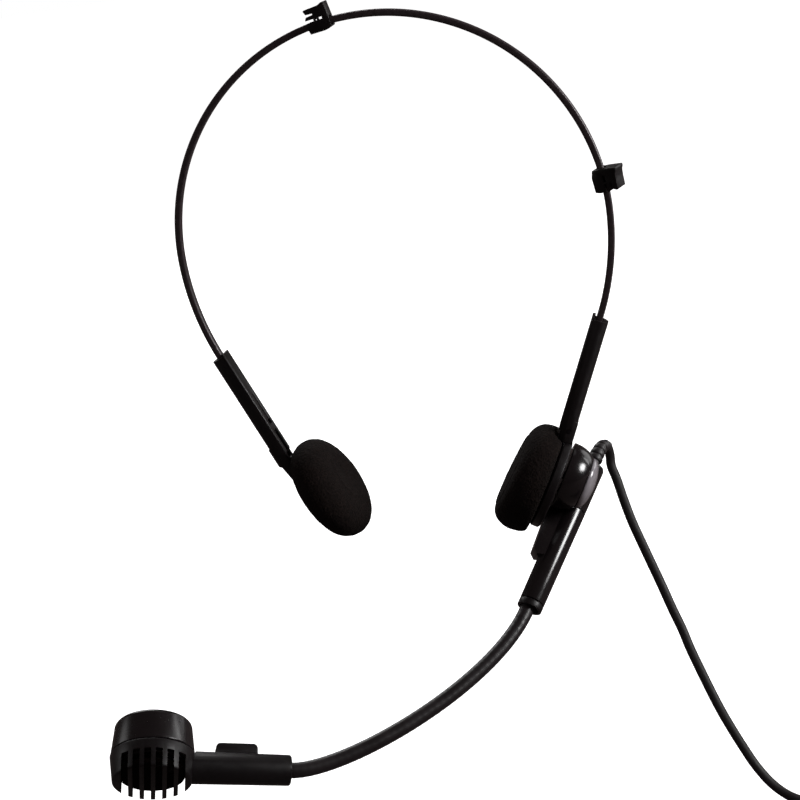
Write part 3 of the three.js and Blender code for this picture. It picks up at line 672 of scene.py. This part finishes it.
def add_wire():
    """The band's wire: flat faces with well-rounded corners."""
    half = CROWN_RADIUS * CROWN_ANGLE + SIDE_RADIUS * SIDE_ANGLE + LEG_LENGTH - WIRE_END
    steps = 260
    sides = 28
    rings = []
    for i in range(steps + 1):
        centre, out = band_at(half * (2 * i / steps - 1))
        one = []
        for j in range(sides):
            angle = 2 * math.pi * (j + 0.5) / sides
            c, s = math.cos(angle), math.sin(angle)
            a = WIRE_HALF_WIDE * math.copysign(abs(c) ** WIRE_ROUNDING, c)
            b = WIRE_HALF_THICK * math.copysign(abs(s) ** WIRE_ROUNDING, s)
            one.append((centre + Vector((0, 1, 0)) * a + out * b) * MM)
        rings.append(one)
    wire = link("headband_spring_wire", grid_mesh("headband_spring_wire", rings))
    settle(smooth(wire, 50), "headband_wire", WIRE)


add_wire()


# ------------------------------------------------------------------ foam pads

# Sizes in mm: X runs outward from the head and Z up the pad, from the middle of its plate.
PIN_OUT, PIN_UP = -1.64, 20.2  # where the pad's hinge pin is
KNUCKLE_REACH = 4.4  # how far round the pin the foam is pressed back by the arm's knuckle
KNUCKLE_HALF, KNUCKLE_FADE = 3.2, 2.3  # how far to each side it is pressed, and eases off
FACE_DISH = 0.35  # how far the edge of a pad's face stands out past its middle
EDGE_FULLNESS = 0.86  # the power of the face's rounded edge: below 1 it is fuller than an ellipse
FOAM_RIGHT = {
    "radius": 19.1, "up": -0.65, "back": 17.2, "front": 12.6,
    "nearest": -1.95, "farthest": -13.6, "widest": -6.4, "wedge": 0.006,
}
FOAM_LEFT = {
    "radius": 18.6, "up": 0.5, "back": 12.5, "front": 8.5,
    "nearest": -2.6, "farthest": -16.5, "widest": -9.2, "wedge": 0,
}


def cushion_profile(size):
    """(radius, X) points from the middle of the cushion's face round its edge to its back."""
    rim, face = 34, 26
    profile = [(size["front"] * i / face, size["farthest"]) for i in range(1, face)]
    for i in range(rim + 1):
        angle = math.pi / 2 * (1 - i / rim)
        full = math.cos(angle) ** EDGE_FULLNESS
        radius = size["front"] + (size["radius"] - size["front"]) * full
        deep = (size["widest"] - size["farthest"]) * math.sin(angle)
        profile.append((radius, size["widest"] - deep))
    for i in range(1, rim + 1):
        angle = math.pi / 2 * (i / rim)
        radius = size["back"] + (size["radius"] - size["back"]) * math.cos(angle)
        profile.append((radius, size["widest"] + (size["nearest"] - size["widest"]) * math.sin(angle)))
    profile += [(size["back"] * (1 - i / face), size["nearest"]) for i in range(1, face)]
    return profile


def pressed_back(p):
    """A point of the foam, moved clear of the knuckle where it would be inside it."""
    from_pin = Vector((p.x - PIN_OUT, 0, p.z - PIN_UP))
    beside = max(0, 1 - max(abs(p.y) - KNUCKLE_HALF, 0) / KNUCKLE_FADE)
    need = (KNUCKLE_REACH - from_pin.length) * beside
    return p + from_pin.normalized() * need if need > 0 else p


def roughened(p, middle):
    """A point of the foam, moved by the cushion's unevenness and by its torn cells."""
    rough = noise.noise(p * 0.35 + Vector((7, 3, 1))) * 0.12
    rough += noise.noise(p * 1.6) * 0.09 + noise.noise(p * 3.1) * 0.08
    return p + (p - middle).normalized() * rough


def foam_pad(name, node, size, pin_joint, out):
    """A round cushion with soft edges and a slightly dished face."""
    plate_up = out.cross(Vector((0, 1, 0)))
    if plate_up.z < 0:
        plate_up.negate()
    pin = Vector(JOINTS[pin_joint]["pos_m"])
    matrix = frame_at(pin - out * PIN_OUT * MM - plate_up * PIN_UP * MM, out, plate_up)
    middle = Vector((size["widest"], 0, size["up"]))
    sides = 300
    rings = []
    for radius, x in cushion_profile(size):
        on_face = x == size["farthest"]
        dish = FACE_DISH * min(radius / size["front"], 1) ** 2 if on_face else 0
        one = []
        for j in range(sides):
            angle = 2 * math.pi * j / sides
            y, z = radius * math.cos(angle), radius * math.sin(angle) + size["up"]
            depth = size["nearest"] + (x - size["nearest"]) * (1 - size["wedge"] * z) - dish
            one.append(matrix @ (roughened(pressed_back(Vector((depth, y, z))), middle) * MM))
        rings.append(one)
    pad = link(name, grid_mesh(name, rings))
    settle(smooth(pad, 60), node, FOAM)


LEFT_TILT = math.radians(28)
LEFT_OUT = Vector((-math.cos(LEFT_TILT), 0, -math.sin(LEFT_TILT)))
foam_pad("right_foam_cushion", "foam_pad_right", FOAM_RIGHT, "right_pad_tilt", OUT)
foam_pad("left_foam_cushion", "foam_pad_left", FOAM_LEFT, "left_pad_tilt", LEFT_OUT)


# ------------------------------------------------------------------ boom pivot

# Sizes in mm: heights along the pivot's axis from the joint, places along the tube from its top.
DOME_RADIUS, DOME_BACK, DOME_FRONT = 11.6, 2.55, 9.9
DOME_SHOULDER, DOME_SKIRT, DOME_SWEEP = 6, 0.7, math.radians(55)
CAVITY_RADIUS, CAVITY_FLOOR = 8.0, 5.4
CORD_BORE, SCREW_BORE = 1.8, 1.55
CHEEK_REACH = 8.6  # how far the block between sleeve and dome reaches from the sleeve's axis
LENS_RADIUS, LENS_REST, LENS_EDGE, LENS_RISE = 9.1, 10.2, 10.4, 3.6
TUBE_RADIUS, TUBE_TIP, TUBE_SEAM, TUBE_END = 4.5, 4.25, -18.6, -58.0
TUBE_BORE, TUBE_BORE_DEPTH = 3.3, 10
COLLAR_LENGTH = 2.3
RIB_HALF, RIB_BACK = 3.4, 2.3
GAP = 0.3  # between pieces that meet at a seam


def dome_profile(grow=0.0):
    """The dome's (radius, height) points, or those of the room it needs."""
    low = DOME_BACK + DOME_SKIRT
    reach = (DOME_FRONT + grow - low) / math.sin(DOME_SWEEP)
    points = [(0, DOME_BACK - grow), (DOME_RADIUS + grow, DOME_BACK - grow)]
    steps = 24
    for i in range(steps + 1):
        angle = DOME_SWEEP * i / steps
        wide = (DOME_RADIUS + grow - DOME_SHOULDER) * math.cos(angle)
        points.append((DOME_SHOULDER + wide, low + reach * math.sin(angle)))
    points.append((0, DOME_FRONT + grow))
    return points


def drilled(name, radius, low, high, matrix, sides):
    """A plain cylinder about the matrix's Z, to cut a bore or a hollow with."""
    return lathe(name, [(0, low), (radius, low), (radius, high), (0, high)], matrix, sides)


def behind(height, depth, reach):
    """A block on the head's side of a height, to cut away what lies there."""
    return block("behind", (-depth, height), (-reach, reach), (-reach, reach), PIVOT)


def add_housing():
    """The pivot's dome with its sleeve for the cord."""
    on_x = PIVOT @ TURN_X
    dome = lathe("boom_pivot_dome", dome_profile(), on_x, 128)
    sleeve = lathe("sleeve", [
        (0, TUBE_SEAM), (TUBE_RADIUS - 0.12, TUBE_SEAM), (TUBE_RADIUS, TUBE_SEAM + 0.12),
        (TUBE_RADIUS, -1.0), (TUBE_RADIUS - 0.25, -0.35), (TUBE_RADIUS - 0.8, 0), (0, 0),
    ], BOOM, 96)
    cheeks = block("cheeks", (-CHEEK_REACH, 0), (-TUBE_RADIUS, TUBE_RADIUS), (TUBE_SEAM, -5), BOOM)
    combine(cheeks, [behind(DOME_BACK, 30, 60)], "DIFFERENCE")
    combine(dome, [sleeve, cheeks], "UNION")
    combine(dome, [
        drilled("cavity", CAVITY_RADIUS, CAVITY_FLOOR, 11, on_x, 64),
        drilled("cord_bore", CORD_BORE, -5, 1, BOOM, 32),
        drilled("screw_bore", SCREW_BORE, 0, 6.5, on_x, 32),
    ], "DIFFERENCE")
    settle(finish_edges(dome, width=0.12, angle=32), "pivot_housing", GLOSS)


def add_lens():
    """The pivot's polished cap, with a channel that clears the sleeve."""
    points = [(0, LENS_REST), (LENS_RADIUS - 0.1, LENS_REST)]
    steps = 24
    for i in range(steps):
        angle = math.pi / 2 * i / steps
        points.append((LENS_RADIUS * math.cos(angle), LENS_EDGE + LENS_RISE * math.sin(angle)))
    points.append((0, LENS_EDGE + LENS_RISE))
    lens = lathe("boom_pivot_cap", points, PIVOT @ TURN_X, 128)
    combine(lens, [drilled("room", TUBE_RADIUS + GAP, -30, 5, BOOM, 96)], "DIFFERENCE")
    settle(finish_edges(lens, width=0.1, angle=35), "pivot_lens_cap", LENS)


def add_boom_tube():
    """The boom's tube and the rib on its inner side."""
    top = TUBE_SEAM - GAP
    low = TUBE_END + COLLAR_LENGTH + GAP
    barrel = lathe("boom_barrel", [
        (0, low), (TUBE_TIP - 0.12, low), (TUBE_TIP, low + 0.12),
        (TUBE_RADIUS, top - 0.12), (TUBE_RADIUS - 0.12, top), (0, top),
    ], BOOM, 96)
    side = BOOM @ Matrix.Rotation(math.pi / 2, 4, "X")  # an outline's Y then runs along the tube
    outline = [(-9, top), (-1, top), (-1, -38.5), (-5.2, -40), (-9, -36.6)]  # across, along the tube
    rib = prism("rib", outline, side, -RIB_HALF, RIB_HALF)
    combine(rib, [behind(RIB_BACK, 40, 90)], "DIFFERENCE")
    combine(barrel, [rib], "UNION")
    combine(barrel, [
        drilled("bore", TUBE_BORE, TUBE_END - 1, TUBE_END + TUBE_BORE_DEPTH, BOOM, 64),
        lathe("room", dome_profile(GAP), PIVOT @ TURN_X, 128),
    ], "DIFFERENCE")
    settle(finish_edges(barrel, width=0.25, segments=3, angle=32), "boom_tube", GLOSS)


def add_collar():
    low, high = TUBE_END, TUBE_END + COLLAR_LENGTH
    corners = [(TUBE_BORE, low), (TUBE_TIP, low), (TUBE_TIP, high), (TUBE_BORE, high)]
    collar = lathe("boom_collar", [*corners, corners[0]], BOOM, 96)
    settle(finish_edges(collar, width=0.3, segments=3, angle=40), "tube_collar", SATIN)


def add_relief():
    """A ribbed taper bent along the cord's first stretch."""
    line = ROUTE_LINE
    gap = 0.3  # between the sleeve and the relief
    length = RELIEF_LENGTH / MM - gap
    neck, base, tip, ribs, pitch = 2.1, 2.7, 2.0, 5, 2.2
    profile = [(neck, 0.0), (neck, 1.5)]
    for i in range(ribs):
        low = 1.8 + i * pitch
        wide = base - i * 0.15
        profile += [
            (wide - 0.12, low - 0.05), (wide, low + 0.15), (wide, low + 1.25), (wide - 0.12, low + 1.42),
            (wide - 0.5, low + 1.6), (wide - 0.5, low + 2.0),
        ]
    profile += [(tip, length - 0.7), (tip, length - 0.15), (tip - 0.15, length)]
    run = np.concatenate([[0], np.cumsum([(b - a).length for a, b in zip(line, line[1:])])]) / MM
    frames = carried_frames(line, (1, 0, 0))
    rings = []
    for radius, height in profile:
        nearest = int(np.argmin(np.abs(run - (height + gap))))
        rings.append(circle(frames[nearest], radius, 48, MM))
    relief = link("cord_strain_relief", grid_mesh("cord_strain_relief", rings))
    settle(smooth(relief, 35), "strain_relief", RUBBER)


add_housing()
add_lens()
add_boom_tube()
add_collar()
add_relief()


# ------------------------------------------------------------------ gooseneck

# Sizes and places in mm.
NECK_START = Vector((31.1, -25.0, -38.1))
NECK_WAY = Vector((-0.38, -0.70, -0.61)).normalized()
NECK_HANDLES = (28, 17.8)  # the curve's handles at the tube and at the stalk
NECK_INSIDE = (6, 8)  # how far it goes into the tube and into the stalk
GOOSENECK_RADIUS = 2.45
RING_DEPTH, RING_PITCH = 0.02, 2.4  # the coil inside the sleeve shows as faint rings


def gooseneck_line():
    tip = (MIC @ (Vector((STALK_END, 0, -STALK_DROP)) * MM)) / MM
    back = MIC.to_3x3() @ Vector((1, 0, 0))
    handles = (NECK_START + NECK_WAY * NECK_HANDLES[0], tip + back * NECK_HANDLES[1])
    points = [NECK_START - NECK_WAY * NECK_INSIDE[0]]
    steps = 200
    for i in range(steps + 1):
        t = i / steps
        points.append(
            NECK_START * (1 - t) ** 3 + handles[0] * 3 * t * (1 - t) ** 2
            + handles[1] * 3 * t * t * (1 - t) + tip * t ** 3
        )
    points.append(tip - back * NECK_INSIDE[1])
    return even_steps([p * MM for p in points], 0.5 * MM)


def add_gooseneck():
    def radius_at(run):
        ring = RING_DEPTH * math.sin(2 * math.pi * run / (RING_PITCH * MM))
        return (GOOSENECK_RADIUS + ring) * MM

    neck = swept("gooseneck_sleeve", gooseneck_line(), radius_at, (0, 0, 1), sides=40)
    settle(smooth(neck, 50), "gooseneck", SLEEVE)


add_gooseneck()


# ------------------------------------------------------------------ capsule

# Sizes in mm: heights from the seam towards the back, places along the stalk from the capsule's axis.
CAPSULE_RADIUS, CAPSULE_TAPER, CAPSULE_DEPTH, CAPSULE_RIM = 13.3, 0.9, 9.0, 3.3
CAPSULE_WALL, CAPSULE_SEAM_GAP = 1.4, 0.3
CAP_RADIUS, CAP_TOP, CAP_HEIGHT = 13.1, 12.2, 10.6
GRILLE_SLOTS, GRILLE_PITCH, GRILLE_SLOT, GRILLE_ASIDE = 6, 3.5, 2.1, 0.35
GRILLE_TURN = math.radians(-4)
TAB_ALONG, TAB_ACROSS, TAB_HALF, TAB_CORNER = (19.5, 32.7), (-3.0, 4.4), 2.5, 1.5
BUSH_BORE, BUSH_DEPTH, LEAD_BORE = 3.7, 12, 1.2


def rounded_box(x, y, corner):
    """An outline with round corners, from its two X values and its two Y values."""
    steps = 6
    points = []
    spots = [(x[1], y[1], 0), (x[0], y[1], 1), (x[0], y[0], 2), (x[1], y[0], 3)]
    for cx, cy, quarter in spots:
        sx = -1 if cx == x[1] else 1
        sy = -1 if cy == y[1] else 1
        for i in range(steps + 1):
            angle = math.pi / 2 * (quarter + i / steps)
            points.append((
                cx + sx * corner + corner * math.cos(angle), cy + sy * corner + corner * math.sin(angle),
            ))
    return points


def add_capsule_housing():
    """The capsule's front shell with its grille, stalk and tab."""
    wide, narrow = CAPSULE_RADIUS, CAPSULE_RADIUS - CAPSULE_TAPER
    front, seam = -CAPSULE_DEPTH, -CAPSULE_SEAM_GAP / 2
    shell = lathe("capsule_front_shell", [
        (0, front), (narrow - 0.9, front), (narrow - 0.35, front + 0.15),
        (narrow - 0.08, front + 0.45), (narrow, front + 0.9),
        (wide, seam - 0.35), (wide - 0.08, seam - 0.1), (wide - 0.3, seam), (0, seam),
    ], MIC, 144)
    barrel = lathe("barrel", [
        (0, 9.5), (5.1, 9.5), (4.8, STALK_END - 0.7), (4.7, STALK_END - 0.3), (4.4, STALK_END - 0.05),
        (4.1, STALK_END), (0, STALK_END),
    ], STALK, 96)
    sideways = MIC @ Matrix.Rotation(math.pi / 2, 4, "X")
    outline = rounded_box(TAB_ALONG, TAB_ACROSS, TAB_CORNER)
    tab = prism("tab", outline, sideways, -TAB_HALF, TAB_HALF, bevel=0.5, segments=3)
    combine(shell, [barrel, tab], "UNION")
    inside, floor = CAPSULE_RADIUS - CAPSULE_WALL, CAPSULE_WALL - CAPSULE_DEPTH
    bush_end = STALK_END - BUSH_DEPTH
    tools = [
        lathe("hollow", [
            (0, floor), (inside - CAPSULE_TAPER, floor), (inside, 0.5), (0, 0.5),
        ], MIC, 96),
        drilled("swivel_bore", BUSH_BORE, bush_end, STALK_END + 0.8, STALK, 64),
        drilled("lead_bore", LEAD_BORE, 8, bush_end + 1, STALK, 24),
        drilled("cap_room", CAP_RADIUS + GAP, seam, 4, MIC, 144),
    ]
    turned = MIC @ Matrix.Rotation(GRILLE_TURN, 4, "Z")
    for i in range(GRILLE_SLOTS):
        x = GRILLE_ASIDE + (i - (GRILLE_SLOTS - 1) / 2) * GRILLE_PITCH
        half = GRILLE_SLOT / 2
        tools.append(block(
            "slot", (x - half, x + half), (-15, 15), (front - 1, -CAPSULE_RIM), turned,
        ))
    combine(shell, tools, "DIFFERENCE")
    settle(finish_edges(shell, width=0.16, angle=34), "capsule_housing", SATIN)


def add_capsule_cap():
    """The hollow cap on the capsule's back, with a rounded edge."""
    base, corner = CAPSULE_SEAM_GAP / 2, 1.6
    profile = [(0, base), (CAP_RADIUS - 0.25, base), (CAP_RADIUS, base + 0.25)]
    steps = 16
    for i in range(steps + 1):
        angle = math.pi / 2 * i / steps
        profile.append((
            CAP_TOP - corner * (1 - math.cos(angle)), CAP_HEIGHT - corner * (1 - math.sin(angle)),
        ))
    profile.append((0, CAP_HEIGHT))
    cap = lathe("capsule_back_cap", profile, MIC, 144)
    inner, deep = CAP_TOP - CAPSULE_WALL, CAP_HEIGHT - CAPSULE_WALL
    combine(cap, [drilled("hollow", inner, -1, deep, MIC, 96)], "DIFFERENCE")
    settle(finish_edges(cap, width=0.12, angle=40), "capsule_cap", SEMI_GLOSS)


add_capsule_housing()
add_capsule_cap()


# ------------------------------------------------------------------ other pieces

# Pieces that keep the CAD's shape, and how wide their edges are rounded, in mm.
ROUNDED = {
    "arm_left": 0.25, "arm_right": 0.25, "pad_plate_right": 0.3, "pad_plate_left": 0.25,
    "cable_clip_top": 0.4, "cable_clip_side": 0.4, "plug_boot": 0.2, "plug_shell": 0.2,
    "plug_insert": 0.1, "plug_latch": 0.25, "cord_tie": 0.12, "pivot_screw": 0.12, "pivot_nut": 0.15,
    "friction_washer": 0.05, "hinge_pin_left": 0.1, "hinge_pin_right": 0.1, "swivel_bush": 0.1,
    "capsule_foam": 0.2, "shock_ring": 0.2, "dynamic_element": 0.2, "diaphragm_cover": 0.1,
    "wire_stop_left": 0.1, "wire_stop_right": 0.1, "plug_contact_1": 0.04, "plug_contact_2": 0.04,
    "plug_contact_3": 0.04, "plug_contact_4": 0.04,
}
made = {node: refined(node, width) for node, width in ROUNDED.items()}


# ------------------------------------------------------------------ cord's facts

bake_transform(cord_piece)


# ------------------------------------------------------------------ floor and light

FLOOR_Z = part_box("cord_tie")[0].z
FLOOR_REACH = 8
FLOOR_GLOW = 0.86  # keeps the table white where the camera sees it
FLOOR_BOUNCE = (0.1, 0.08, 0.077)  # what it gives back to the pieces
SURROUND, SURROUND_STRENGTH = (1, 0.8, 0.76), 0.06


def seen_or_lit(tree, seen, lit, output):
    """One shader where the camera looks straight at it, and another for the light it gives back."""
    rays = tree.nodes.new("ShaderNodeLightPath")
    mix = tree.nodes.new("ShaderNodeMixShader")
    tree.links.new(rays.outputs["Is Camera Ray"], mix.inputs["Fac"])
    tree.links.new(lit, mix.inputs[1])
    tree.links.new(seen, mix.inputs[2])
    tree.links.new(mix.outputs["Shader"], output.inputs["Surface"])


def add_floor():
    """A white table top, which keeps its soft shadows but gives little back to the gloss."""
    mesh = bpy.data.meshes.new("floor")
    corners = [(-1, -1), (1, -1), (1, 1), (-1, 1)]
    mesh.from_pydata(
        [(x * FLOOR_REACH, y * FLOOR_REACH, FLOOR_Z) for x, y in corners], [], [(0, 1, 2, 3)],
    )
    floor = link("floor", mesh)
    look = Look("pale_floor")
    color = look.shades(look.grain(3, 3), grey(0.84), grey(0.87))
    look.use(
        color, Roughness=0.9, Specular_IOR_Level=0.0,
        Emission_Color=(1, 1, 1, 1), Emission_Strength=FLOOR_GLOW,
    )
    lit = look.node("ShaderNodeBsdfDiffuse", Color=(*FLOOR_BOUNCE, 1))
    output = look.tree.nodes["Material Output"]
    seen_or_lit(look.tree, look.shader.outputs["BSDF"], lit.outputs["BSDF"], output)
    floor.data.materials.append(look.material)


def add_world():
    """A white background, and a dim surround for the light and the reflections."""
    world = bpy.data.worlds.new("studio")
    world.use_nodes = True
    bpy.context.scene.world = world
    tree = world.node_tree
    surround = tree.nodes["Background"]
    surround.inputs["Color"].default_value = (*SURROUND, 1)
    surround.inputs["Strength"].default_value = SURROUND_STRENGTH
    backdrop = tree.nodes.new("ShaderNodeBackground")
    backdrop.inputs["Color"].default_value = (1, 1, 1, 1)
    seen_or_lit(
        tree, backdrop.outputs["Background"], surround.outputs["Background"], tree.nodes["World Output"],
    )


def way_to(azimuth, elevation):
    """A direction: azimuth 0 is the viewer's side, -Y, and 90 is the picture's right, +X."""
    a, e = math.radians(azimuth), math.radians(elevation)
    return Vector((math.sin(a) * math.cos(e), -math.cos(a) * math.cos(e), math.sin(e)))


def add_light(name, kind, azimuth, elevation, distance, strength, aim, **values):
    """A light that points at aim and that the camera doesn't see."""
    data = bpy.data.lights.new(name, kind)
    data.energy = strength
    for key, value in values.items():
        setattr(data, key, value)
    light = bpy.data.objects.new(name, data)
    place = Vector(aim) + way_to(azimuth, elevation) * distance
    turn = (Vector(aim) - place).to_track_quat("-Z", "Y").to_matrix().to_4x4()
    light.matrix_world = Matrix.Translation(place) @ turn
    light.visible_camera = False
    bpy.context.scene.collection.objects.link(light)
    return light


def softbox(name, azimuth, elevation, distance, wide, high, radiance, aim):
    """A round or oval light of a given radiance, which is what its reflection shows."""
    strength = radiance * math.pi * math.pi / 4 * wide * high
    add_light(
        name, "AREA", azimuth, elevation, distance, strength, aim,
        shape="ELLIPSE", size=wide, size_y=high,
    )


MIDDLE, BOOM_PIVOT, CAPSULE = (0, 0, 0), (0.05, -0.01, -0.01), (-0.07, -0.09, -0.04)
# azimuth and elevation in degrees, distance, width and height in metres, radiance, aim
SOFTBOXES = {
    "top_softbox": (150, 60, 1.2, 0.8, 0.6, 0.3, MIDDLE),
    "key_softbox": (82, 21, 0.9, 0.42, 0.3, 26, BOOM_PIVOT),
    "side_softbox": (118, 18, 1.0, 0.1, 0.4, 6, CAPSULE),
    "rear_softbox": (135, 14, 1.3, 0.7, 0.7, 1.6, MIDDLE),
    "left_softbox": (-80, 20, 1.2, 0.8, 0.6, 1.3, MIDDLE),
    "back_softbox": (-150, 35, 1.3, 0.9, 0.7, 4.0, MIDDLE),
}

add_floor()
add_world()
overhead = add_light("overhead", "SUN", 40, 58, 1, 0.7, MIDDLE, angle=math.radians(45))
overhead.visible_glossy = False
for name, values in SOFTBOXES.items():
    softbox(name, *values)
bpy.context.scene.view_settings.view_transform = "Standard"
